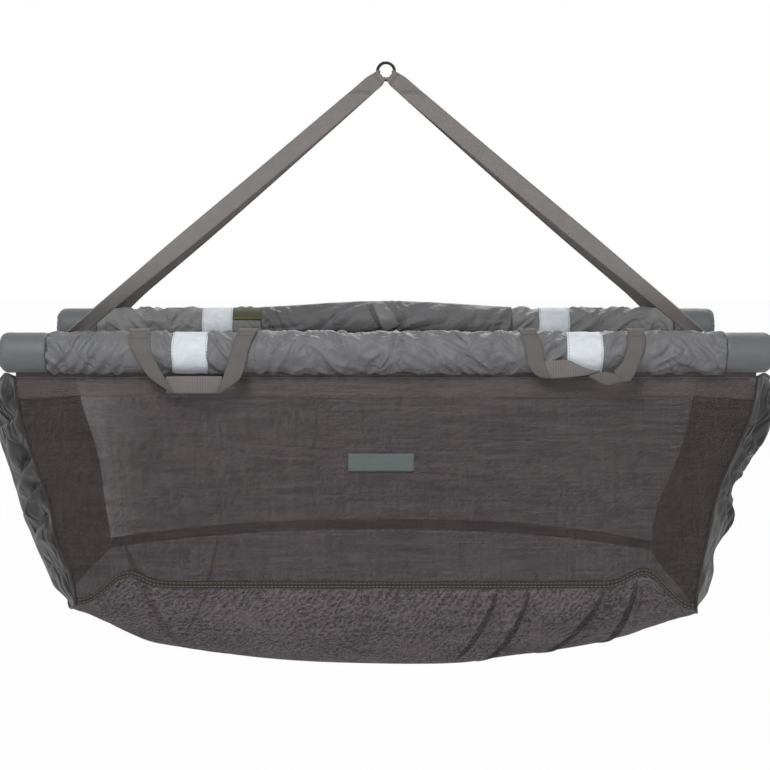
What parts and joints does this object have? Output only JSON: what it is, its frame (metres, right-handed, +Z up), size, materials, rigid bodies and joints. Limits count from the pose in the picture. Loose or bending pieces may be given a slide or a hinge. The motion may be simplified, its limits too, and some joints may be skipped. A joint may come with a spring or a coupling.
{
  "type": "weigh sling",
  "caption": "Floating weigh sling: padded side bars carry a see-through mesh trough with nylon ends, webbing straps meet at a hanging ring, and webbing handles sit on each bar.",
  "frame": {"origin": "centre of the hanging ring", "axes": "+X along the side bars, +Y from the front bar to the rear bar, +Z up"},
  "size_m": [1.2225, 0.4888, 0.9802],
  "materials": {
    "nylon": "woven polyester nylon, satin, creased",
    "end_nylon": "dark woven nylon, creased",
    "mesh": "fine see-through brown mesh",
    "binding": "dark brown binding tape",
    "webbing": "ribbed taupe webbing",
    "reflective": "pale reflective tape",
    "olive": "olive woven tag",
    "patch": "grey-green woven patch, bare",
    "black_metal": "black coated steel",
    "foam": "closed-cell foam",
    "fibre": "glass-fibre rod"
  },
  "bodies": {
    "hanger": {"hanging_ring": "black_metal", "left_strap_eye": "webbing", "right_strap_eye": "webbing"},
    "front_side": {"front_bar_rod": "fibre", "front_sleeve": "nylon", "front_hem": "binding", "front_left_float": "foam", "front_left_end_cap": "nylon", "front_left_band": "reflective", "front_left_strap": "webbing", "front_right_float": "foam", "front_right_end_cap": "nylon", "front_right_band": "reflective", "front_right_strap": "webbing"},
    "front_wall": {"front_mesh_wall": "mesh", "front_base_tape": "binding", "name_patch": "patch"},
    "rear_side": {"rear_bar_rod": "fibre", "rear_sleeve": "nylon", "rear_hem": "binding", "rear_left_float": "foam", "rear_left_end_cap": "nylon", "rear_left_band": "reflective", "rear_left_strap": "webbing", "rear_right_float": "foam", "rear_right_end_cap": "nylon", "rear_right_band": "reflective", "rear_right_strap": "webbing", "olive_tag": "olive"},
    "rear_wall": {"rear_mesh_wall": "mesh", "rear_base_tape": "binding"},
    "trough": {"base_mesh": "mesh", "left_end_panel": "end_nylon", "right_end_panel": "end_nylon"},
    "front_left_handle_loop": {"front_left_handle": "webbing", "front_left_handle_grip": "webbing"},
    "front_right_handle_loop": {"front_right_handle": "webbing", "front_right_handle_grip": "webbing"},
    "rear_left_handle_loop": {"rear_left_handle": "webbing", "rear_left_handle_grip": "webbing"},
    "rear_right_handle_loop": {"rear_right_handle": "webbing", "rear_right_handle_grip": "webbing"},
    "cover": {"cover_flap": "nylon", "flap_pull": "nylon"}
  },
  "joints": [
    {"name": "front_swing", "type": "hinge", "parent": "hanger", "child": "front_side", "pos_m": [0, 0, -0.034], "axis": [1, 0, 0], "range_deg": [0, 22]},
    {"name": "rear_swing", "type": "hinge", "parent": "hanger", "child": "rear_side", "pos_m": [0, 0, -0.034], "axis": [-1, 0, 0], "range_deg": [0, 22]},
    {"name": "front_wall_hang", "type": "hinge", "parent": "front_side", "child": "front_wall", "pos_m": [0, -0.21, -0.4634], "axis": [-1, 0, 0], "range_deg": [0, 22]},
    {"name": "rear_wall_hang", "type": "hinge", "parent": "rear_side", "child": "rear_wall", "pos_m": [0, 0.21, -0.4634], "axis": [1, 0, 0], "range_deg": [0, 22]},
    {"name": "trough_drop", "type": "slide", "parent": "hanger", "child": "trough", "axis": [0, 0, -1], "range_m": [0, 0.048], "deforming": ["base_mesh", "left_end_panel", "right_end_panel"]},
    {"name": "front_left_handle_lift", "type": "hinge", "parent": "front_side", "child": "front_left_handle_loop", "pos_m": [-0.2915, -0.21, -0.3941], "axis": [-1, 0, 0], "range_deg": [0, 120]},
    {"name": "front_right_handle_lift", "type": "hinge", "parent": "front_side", "child": "front_right_handle_loop", "pos_m": [0.2915, -0.21, -0.3941], "axis": [-1, 0, 0], "range_deg": [0, 120]},
    {"name": "rear_left_handle_lift", "type": "hinge", "parent": "rear_side", "child": "rear_left_handle_loop", "pos_m": [-0.2915, 0.21, -0.3941], "axis": [1, 0, 0], "range_deg": [0, 120]},
    {"name": "rear_right_handle_lift", "type": "hinge", "parent": "rear_side", "child": "rear_right_handle_loop", "pos_m": [0.2915, 0.21, -0.3941], "axis": [1, 0, 0], "range_deg": [0, 120]},
    {"name": "cover_lift", "type": "hinge", "parent": "rear_side", "child": "cover", "pos_m": [0.0035, 0.2078, -0.3949], "axis": [-1, 0, 0], "range_deg": [0, 70]}
  ],
  "couplings": [
    {"joint": "rear_swing", "follows": "front_swing", "ratio": 1},
    {"joint": "front_wall_hang", "follows": "front_swing", "ratio": 1},
    {"joint": "rear_wall_hang", "follows": "front_swing", "ratio": 1},
    {"joint": "trough_drop", "follows": "front_swing", "m_per_rad": 0.1237}
  ]
}
